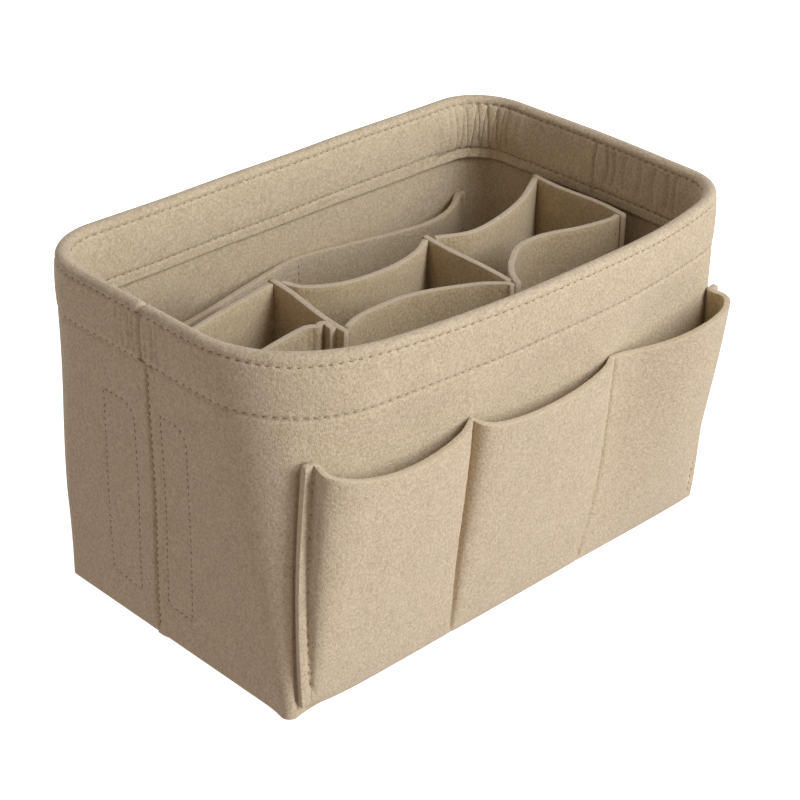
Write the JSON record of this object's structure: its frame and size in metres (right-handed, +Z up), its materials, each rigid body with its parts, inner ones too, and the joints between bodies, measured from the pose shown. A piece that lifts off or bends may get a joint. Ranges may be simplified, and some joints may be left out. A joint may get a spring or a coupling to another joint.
{
  "type": "purse organizer insert",
  "caption": "Open felt box that stands inside a handbag, with slip pockets on the front, a pocket inside the rear wall and a compartment unit that lifts out.",
  "frame": {"origin": "middle of the underside of the base", "axes": "+X along the length, towards the end without fastener strips; -Y towards the pocketed front; +Z up"},
  "size_m": [0.2757, 0.1827, 0.164],
  "materials": {
    "felt": "matte",
    "fastener_strip": "matte"
  },
  "bodies": {
    "shell": {"base_panel": "felt", "front_wall_panel": "felt", "rear_wall_panel": "felt", "front_rim_band": "felt", "rear_rim_band": "felt", "front_pocket_panel": "felt", "rear_inner_pocket_panel": "felt", "rear_loop_strip": "fastener_strip", "front_loop_strip": "fastener_strip"},
    "compartment_unit": {"unit_rear_panel_left": "felt", "unit_rear_panel_middle": "felt", "unit_rear_panel_right": "felt", "unit_front_panel_left": "felt", "unit_front_panel_middle": "felt", "unit_front_panel_right": "felt", "unit_divider_left": "felt", "unit_divider_right": "felt", "unit_right_end_wall": "felt", "rear_hook_strip": "fastener_strip", "front_hook_strip": "fastener_strip"}
  },
  "joints": [
    {"name": "unit_lift", "type": "slide", "parent": "shell", "child": "compartment_unit", "axis": [0, 0, 1], "range_m": [0, 0.17]}
  ]
}
